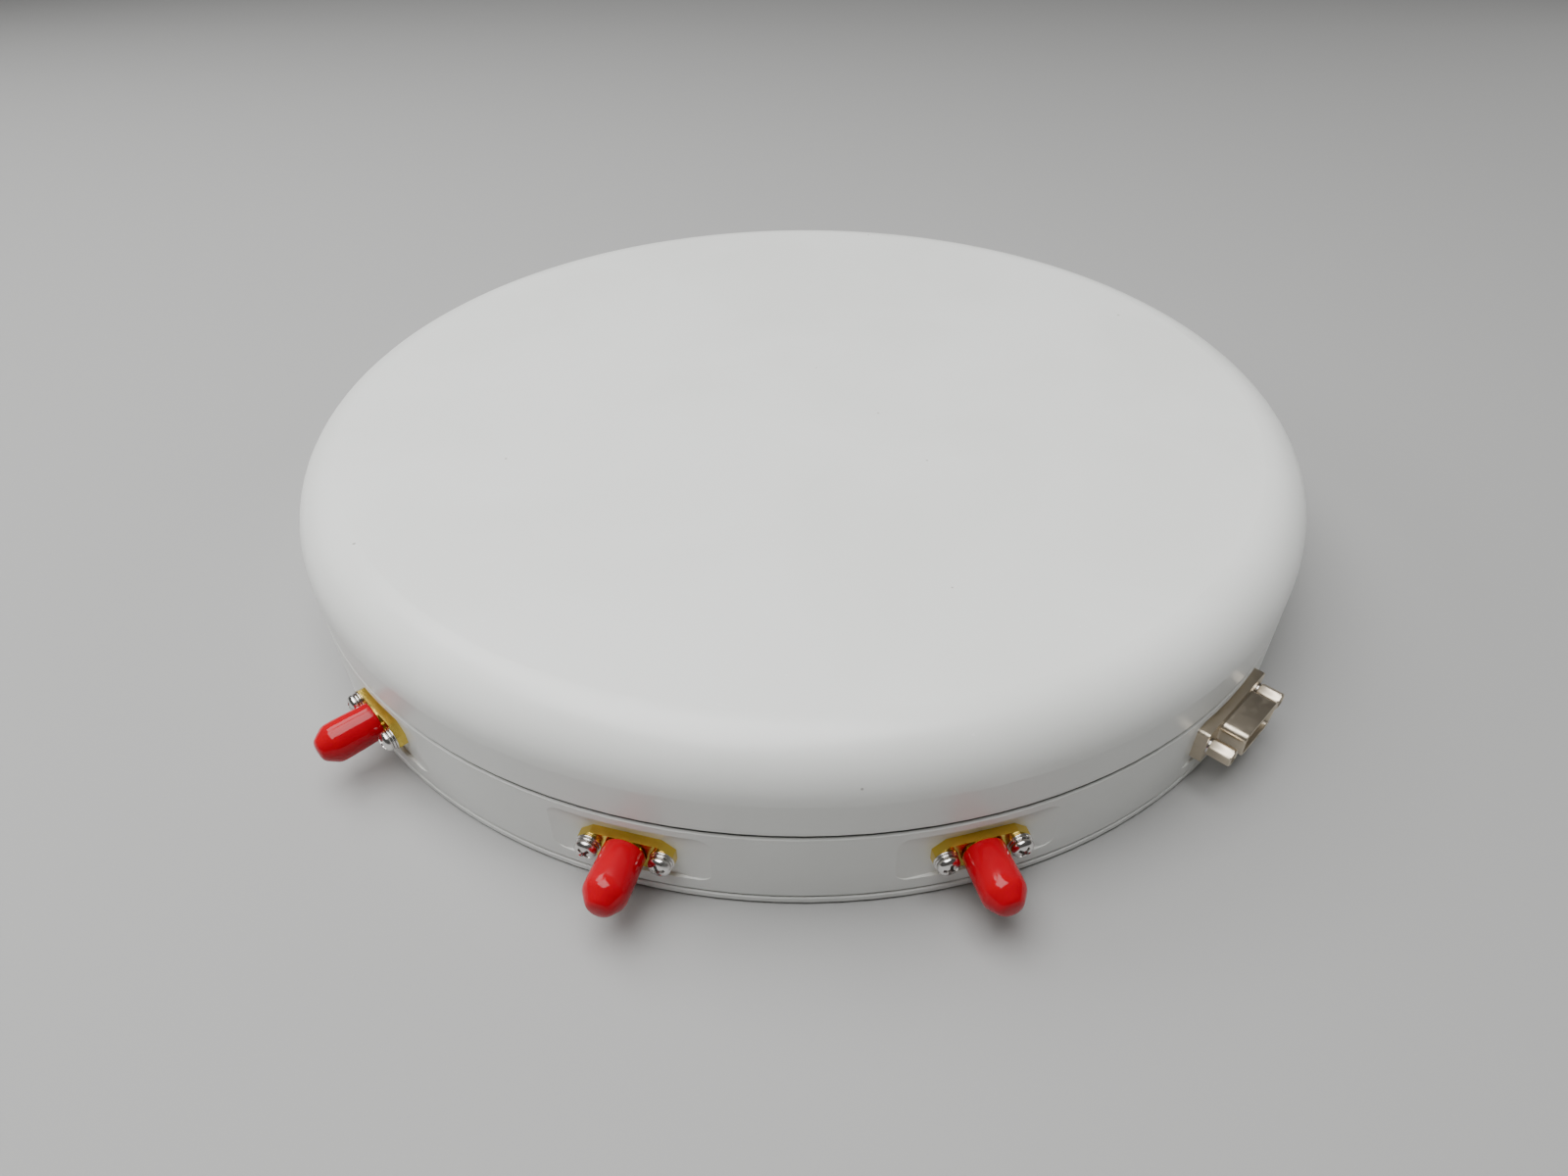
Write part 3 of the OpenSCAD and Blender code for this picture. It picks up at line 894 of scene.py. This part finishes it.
@dataclass
class JackFixings:
    """The screws and washers of all three jacks, one piece for each kind. Sizes in millimetres."""

    jacks: Sequence[CoaxJack]
    gap: float = 12.2
    head: float = 1.9
    head_rise: float = 1.4
    shank: float = 1.0
    flat: float = 0.3
    spring: float = 0.5
    split_degrees: float = 14.0
    first_turn: float = 0.5
    next_turn: float = 1.13

    def build(self) -> None:
        """Build the screws, the split washers and the flat washers."""
        heads, springs, flats = Solid(), Solid(), Solid()
        angle = self.first_turn
        for jack in self.jacks:
            matrix = self._local(jack.seat())
            for side in (-1.0, 1.0):
                angle += self.next_turn
                base = jack.flange
                shift = Matrix.Translation((side * self.gap / 2, 0.0, 0.0))
                heads.merge(self._screw(base + self.flat + self.spring, angle).move(matrix @ shift))
                springs.merge(self._split(base + self.flat, angle).move(matrix @ shift))
                flats.merge(self._plain(base).move(matrix @ shift))
        heads.piece("jack_screw_set", None, STEEL, "base", Shading.CRISP, ["jack_screws"], "steel")
        springs.piece("jack_split_washer_set", None, STEEL, "base", Shading.ROUND,
                      ["jack_spring_washers"], "steel")
        flats.piece("jack_flat_washer_set", None, STEEL, "base", Shading.ROUND,
                    ["jack_flat_washers"], "steel")

    @staticmethod
    def _local(seat: Seat) -> Matrix:
        """The seat's matrix in millimetres.

        Args:
            seat: The seat.

        Returns:
            The same turn, with its shift in millimetres.
        """
        matrix = seat.matrix.copy()
        matrix.translation = matrix.translation / MM
        return matrix

    def _screw(self, base: float, angle: float) -> Solid:
        """One cross-head pan screw.

        Args:
            base: The height of the head's underside.
            angle: How far it is turned, in radians.

        Returns:
            The screw.
        """
        r, h = self.head, self.head_rise
        outline = [(0.0, -6.0), (self.shank, -6.0), (self.shank, 0.0), (r - 0.28, 0.0), (r - 0.12, 0.05),
                   (r - 0.03, 0.16), (r, 0.32), (r - 0.02, 0.54), (r - 0.09, 0.74), (r - 0.23, 0.94),
                   (r - 0.48, 1.13), (r - 0.85, 1.28), (r - 1.3, 1.37), (0.0, h)]
        blank = Solid().lathe(outline, 48)
        cross = Solid()
        for turn in (0.0, math.pi / 2):
            bar = Solid()
            lows = [(-0.6, h - 1.0), (0.6, h - 1.0), (1.52, h + 0.3), (-1.52, h + 0.3)]
            front = [bar.bm.verts.new((x, -0.33 if z > h else -0.2, z)) for x, z in lows]
            back = [bar.bm.verts.new((x, 0.33 if z > h else 0.2, z)) for x, z in lows]
            bar.bm.faces.new(front)
            bar.bm.faces.new(back[::-1])
            for i in range(4):
                j = (i + 1) % 4
                bar.bm.faces.new((front[j], front[i], back[i], back[j]))
            cross.merge(bar.move(Matrix.Rotation(turn, 4, "Z")))
        screw = carve(blank, cross)
        return screw.move(Matrix.Translation((0.0, 0.0, base)) @ Matrix.Rotation(angle, 4, "Z"))

    def _split(self, base: float, angle: float) -> Solid:
        """One split spring washer, its ends a little apart.

        Args:
            base: The height of its underside.
            angle: Where its split is, in radians.

        Returns:
            The washer.
        """
        steps, inner, outer = 56, self.shank + 0.15, self.head + 0.06
        split = math.radians(self.split_degrees)
        solid = Solid()
        top = self.spring - 0.07
        section = ((inner, 0.03), (outer - 0.2, 0.03), (outer - 0.08, 0.06), (outer - 0.01, 0.15),
                   (outer - 0.01, top - 0.12), (outer - 0.08, top - 0.03), (outer - 0.2, top),
                   (inner, top))
        rows = []
        for i in range(steps + 1):
            turn = angle + split / 2 + (math.tau - split) * i / steps
            lift = 0.05 * i / steps
            rows.append([solid.bm.verts.new((r * math.cos(turn), r * math.sin(turn), base + z + lift))
                         for r, z in section])
        solid.skin(rows)
        solid.bm.faces.new(rows[0])
        solid.bm.faces.new(rows[-1][::-1])
        return solid

    def _plain(self, base: float) -> Solid:
        """One flat washer with rolled edges.

        Args:
            base: The height of its underside.

        Returns:
            The washer.
        """
        inner, outer, h = self.shank + 0.15, self.head + 0.2, self.flat
        outline = [(inner, base), (outer - 0.1, base), (outer - 0.02, base + 0.06), (outer, base + 0.13),
                   (outer - 0.03, base + h - 0.06), (outer - 0.13, base + h), (inner, base + h)]
        return Solid().lathe(outline, 48, closed=True)


def carve(blank: Solid, tool: Solid) -> Solid:
    """Cut one solid out of another.

    Args:
        blank: What is cut.
        tool: What cuts it.

    Returns:
        What is left.
    """
    collection = bpy.context.scene.collection
    objects = []
    for name, solid in (("blank", blank), ("tool", tool)):
        bmesh.ops.recalc_face_normals(solid.bm, faces=solid.bm.faces)
        mesh = bpy.data.meshes.new(name)
        solid.bm.to_mesh(mesh)
        solid.bm.free()
        made = bpy.data.objects.new(name, mesh)
        collection.objects.link(made)
        objects.append(made)
    cut = objects[0].modifiers.new("cut", "BOOLEAN")
    cut.operation, cut.solver, cut.object = "DIFFERENCE", "EXACT", objects[1]
    cut.use_self = True
    bpy.context.view_layer.update()
    graph = bpy.context.evaluated_depsgraph_get()
    mesh = bpy.data.meshes.new_from_object(objects[0].evaluated_get(graph))
    left = Solid()
    left.bm.from_mesh(mesh)
    for made in objects:
        old = made.data
        bpy.data.objects.remove(made)
        bpy.data.meshes.remove(old)
    bpy.data.meshes.remove(mesh)
    return left


# ---------------------------------------------------------------- multiway connector

@dataclass
class MultiwayPlug:
    """The nickel multiway connector with its two hexagonal posts. Sizes in millimetres."""

    length: float = 21.6
    rise: float = 6.8
    flange: float = 2.0
    shell: float = 4.6
    wall: float = 0.5
    post_gap: float = 18.16
    post_length: float = 4.0
    flats: float = 3.0
    hole: float = 0.9
    washer: float = 0.4
    tap_turns: int = 7
    tap_pitch: float = 0.45

    def seat(self) -> Seat:
        """Where the connector stands on the wall.

        Returns:
            The seat, with its foot on the milled flat.
        """
        mounts = {m["name"]: m for m in frame["record"]["mounts"]}
        left, right = mounts["plug_post_left"], mounts["plug_post_right"]
        out = Vector(left["axis"]).normalized()
        middle = (Vector(left["pos_m"]) + Vector(right["pos_m"])) / 2
        return Seat(out, middle - out * (self.flange + self.washer + self.post_length) * MM)

    def build(self) -> None:
        """Build the shell, the posts and their washers."""
        self._shell()
        self._posts()

    def _outline(self, inset: float) -> list[Point]:
        """The D-shaped outline of the shell.

        Args:
            inset: How far it is drawn in.

        Returns:
            The outline's points.
        """
        top, bottom, half = 6.3 - inset, 5.3 - inset, 2.7 - inset
        return rounded([(-bottom, -half), (bottom, -half), (top, half), (-top, half)], 1.2 - inset * 0.6)

    def _shell(self) -> None:
        """Build the flange and the hollow shell with its rolled lip."""
        x, y = self.length / 2, self.rise / 2
        plate = rounded([(-x, -y), (x, -y), (x, y), (-x, y)], 0.8)
        solid = Solid().prism(plate, 0.0, self.flange, 0.16)
        top = self.flange + self.shell
        levels = [(0.0, self.flange - 0.1), (0.0, top - 0.22), (0.06, top - 0.07), (0.17, top),
                  (0.33, top), (0.44, top - 0.07), (self.wall, top - 0.22), (self.wall, 0.3)]
        skirt = [(-0.35, self.flange - 0.1), (-0.35, self.flange + 0.02), (-0.12, self.flange + 0.1),
                 (-0.02, self.flange + 0.32)]
        for outlines in (levels, skirt):
            solid.merge(self._sleeve(outlines))
        solid.piece("plug_shell_metal", self.seat().matrix, NICKEL, "base", Shading.CRISP,
                    ["plug_shell"], "nickel")

    def _sleeve(self, levels: Sequence[Point]) -> Solid:
        """Join the shell's outlines into an open sleeve.

        Args:
            levels: The inset and height of each outline, in order.

        Returns:
            The sleeve.
        """
        sleeve = Solid()
        return sleeve.skin([[sleeve.bm.verts.new((x, y, z)) for x, y in self._outline(inset)]
                            for inset, z in levels])

    def _posts(self) -> None:
        """Build both hexagonal posts with chamfered ends and tapped holes, and their washers."""
        posts, washers = Solid(), Solid()
        low = self.flange + self.washer
        high = low + self.post_length
        for side in (-1.0, 1.0):
            shift = (side * self.post_gap / 2, 0.0)
            posts.merge(self._post(shift, low, high))
            outline = [(1.12, self.flange), (1.43, self.flange), (1.5, self.flange + 0.07),
                       (1.5, low - 0.07), (1.43, low), (1.12, low)]
            washers.merge(Solid().lathe(outline, 48, shift, True))
        matrix = self.seat().matrix
        posts.piece("plug_post_set", matrix, NICKEL, "base", Shading.CRISP, ["plug_posts"], "nickel")
        washers.piece("plug_post_washer_set", matrix, STEEL, "base", Shading.CRISP,
                      ["plug_post_washers"], "steel")

    def _post(self, shift: Point, low: float, high: float) -> Solid:
        """One hexagonal post.

        Args:
            shift: Where its axis stands.
            low: Its foot.
            high: Its end.

        Returns:
            The post.
        """
        steps = 60
        half = self.flats / 2
        angles = [math.tau * i / steps for i in range(steps)]
        hexagon = [half / math.cos((a + math.pi / 6) % (math.pi / 3) - math.pi / 6) for a in angles]
        eased = [min(r, half * 1.12) for r in hexagon]
        solid = Solid()
        levels = [([r * 0.97 for r in eased], low), (eased, low + 0.12), (eased, high - 0.3)]
        levels += [([min(r, half * 1.03) for r in eased], high - 0.12), ([half * 0.9] * steps, high),
                   ([self.hole + 0.22] * steps, high), ([self.hole] * steps, high - 0.22)]
        rings = [solid.ring(radii, z, shift) for radii, z in levels]
        for k in range(self.tap_turns):
            z = high - 0.22 - self.tap_pitch * (k + 0.5)
            rings.append(solid.ring([self.hole + 0.13] * steps, z, shift))
            rings.append(solid.ring([self.hole] * steps, z - self.tap_pitch / 2, shift))
        solid.skin(rings)
        solid.bm.faces.new(rings[-1])
        solid.bm.faces.new(rings[0][::-1])
        shank = Solid().lathe([(0.0, -4.4), (1.0, -4.4), (1.0, low + 0.05)], 32, shift)
        return solid.merge(shank)


# ---------------------------------------------------------------- housing and inside

@dataclass
class Housing:
    """The white outer pieces and their seals."""

    def dress(self) -> None:
        """Paint the housing and its seals and fixings."""
        Paintshop.dress_nodes(WHITE_CAP, "radome")
        Paintshop.dress_nodes(WHITE_BASE, "base_housing", "bottom_plate")
        Paintshop.dress_nodes(RUBBER, "radome_seal", "bottom_seal")
        Paintshop.dress_nodes(STEEL, "radome_screws", "plate_screws", "mount_inserts")
        Paintshop.dress_nodes(BRASS, "radome_inserts")


@dataclass
class Inside:
    """What the housing holds, and the insides of the connectors."""

    def dress(self) -> None:
        """Give each inner piece its finish."""
        Paintshop.dress_nodes(BOARD, "ground_board", "amplifier_boards", "control_board")
        Paintshop.dress_nodes(STEEL, "ground_screws", "control_screws", "amplifier_covers")
        Paintshop.dress_nodes(CERAMIC, "lower_patches", "upper_patches")
        Paintshop.dress_nodes(SILVERED, "lower_foils", "upper_foils")
        Paintshop.dress_nodes(GOLD, "feed_pins", "link_pins", "coax_sockets", "jack_contacts",
                              "plug_contacts")
        Paintshop.dress_nodes(NYLON, "patch_screws")
        Paintshop.dress_nodes(BRASS, "amplifier_spacers", "control_spacers")
        Paintshop.dress_nodes(BLACK, "control_chips", "plug_insulator", "plug_socket")
        Paintshop.dress_nodes(COPPER, "coax_jumpers")
        Paintshop.dress_nodes(WAXY, "jack_insulators")
        Paintshop.dress_nodes(BLUE_WIRE, "plug_wires")


# ---------------------------------------------------------------- studio

@dataclass
class Softbox:
    """One soft rectangular light. Sizes in metres."""

    name: str
    spot: Triple
    aim: Triple
    width: float
    depth: float
    power: float
    mirrored: bool = True

    def build(self) -> None:
        """Hang the light and turn it to its aim."""
        light = bpy.data.lights.new(self.name, "AREA")
        light.shape, light.size, light.size_y = "RECTANGLE", self.width, self.depth
        light.energy = self.power
        hung = bpy.data.objects.new(self.name, light)
        bpy.context.scene.collection.objects.link(hung)
        hung.visible_glossy = self.mirrored
        hung.location = self.spot
        hung.rotation_euler = (Vector(self.aim) - Vector(self.spot)).to_track_quat("-Z", "Y").to_euler()


@dataclass
class Studio:
    """Floor, lights and camera. Sizes in metres, angles in radians."""

    distance: float = 0.19283
    rise: float = 0.13864
    orbit: float = -0.00576
    pitch: float = 0.6956
    yaw: float = -0.01444
    roll: float = -0.0150
    lens: float = 22.59
    floor_half: float = 3.0
    floor_drop: float = 0.3 * MM
    sky: Colour = (1.0, 0.98, 0.95)
    sky_strength: float = 0.07

    def build(self) -> None:
        """Lay the floor, hang the lights and set the camera."""
        self._floor()
        origin, jacks = (0.0, 0.0, 0.02), (0.0, -0.1, 0.0)
        for light in (Softbox("top_light", (-0.12, -0.10, 0.74), origin, 0.62, 0.62, 8.8),
                      Softbox("back_lamp", (-0.44, 0.33, 0.74), jacks, 0.36, 0.36, 2.6),
                      Softbox("left_light", (-0.8, 0.22, 0.42), origin, 0.5, 0.4, 3.6, False),
                      Softbox("right_light", (0.8, 0.3, 0.38), origin, 0.5, 0.4, 2.3, False)):
            light.build()
        world = bpy.data.worlds.new("studio")
        bpy.context.scene.world = world
        world.use_nodes = True
        sky = world.node_tree.nodes["Background"]
        sky.inputs["Color"].default_value = (*self.sky, 1.0)
        sky.inputs["Strength"].default_value = self.sky_strength
        self._camera()

    def _floor(self) -> None:
        """Lay the pale floor just under the object."""
        half = self.floor_half
        mesh = bpy.data.meshes.new("floor")
        corners = [(-half, -half, 0.0), (half, -half, 0.0), (half, half, 0.0), (-half, half, 0.0)]
        mesh.from_pydata(corners, [], [(0, 1, 2, 3)])
        floor = bpy.data.objects.new("floor", mesh)
        floor.location.z = -self.floor_drop
        bpy.context.scene.collection.objects.link(floor)
        floor.data.materials.append(Paintshop.get(FLOOR))

    def _camera(self) -> None:
        """Set the camera at its measured place."""
        ahead = Vector((math.sin(self.yaw) * math.cos(self.pitch),
                        math.cos(self.yaw) * math.cos(self.pitch), -math.sin(self.pitch)))
        right = ahead.cross(Vector((0.0, 0.0, 1.0))).normalized()
        up = right.cross(ahead)
        across = math.cos(self.roll) * right + math.sin(self.roll) * up
        above = -math.sin(self.roll) * right + math.cos(self.roll) * up
        lens = bpy.data.cameras.new("camera")
        lens.sensor_fit, lens.sensor_width, lens.lens = "HORIZONTAL", 36.0, self.lens
        lens.clip_start = 0.005
        camera = bpy.data.objects.new("camera", lens)
        bpy.context.scene.collection.objects.link(camera)
        turn = Matrix((across, above, -ahead)).transposed().to_4x4()
        spot = (self.distance * math.sin(self.orbit), -self.distance * math.cos(self.orbit), self.rise)
        camera.matrix_world = Matrix.Translation(spot) @ turn
        bpy.context.scene.camera = camera


def main() -> None:
    """Build the studio and every sub-assembly in order."""
    logging.basicConfig(level=logging.INFO, format="%(name)s: %(message)s")
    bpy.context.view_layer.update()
    Studio().build()
    Housing().dress()
    Inside().dress()
    jacks = [CoaxJack(place) for place in Place]
    for jack in jacks:
        jack.build()
    JackFixings(jacks).build()
    MultiwayPlug().build()


if __name__ == "__main__":
    main()
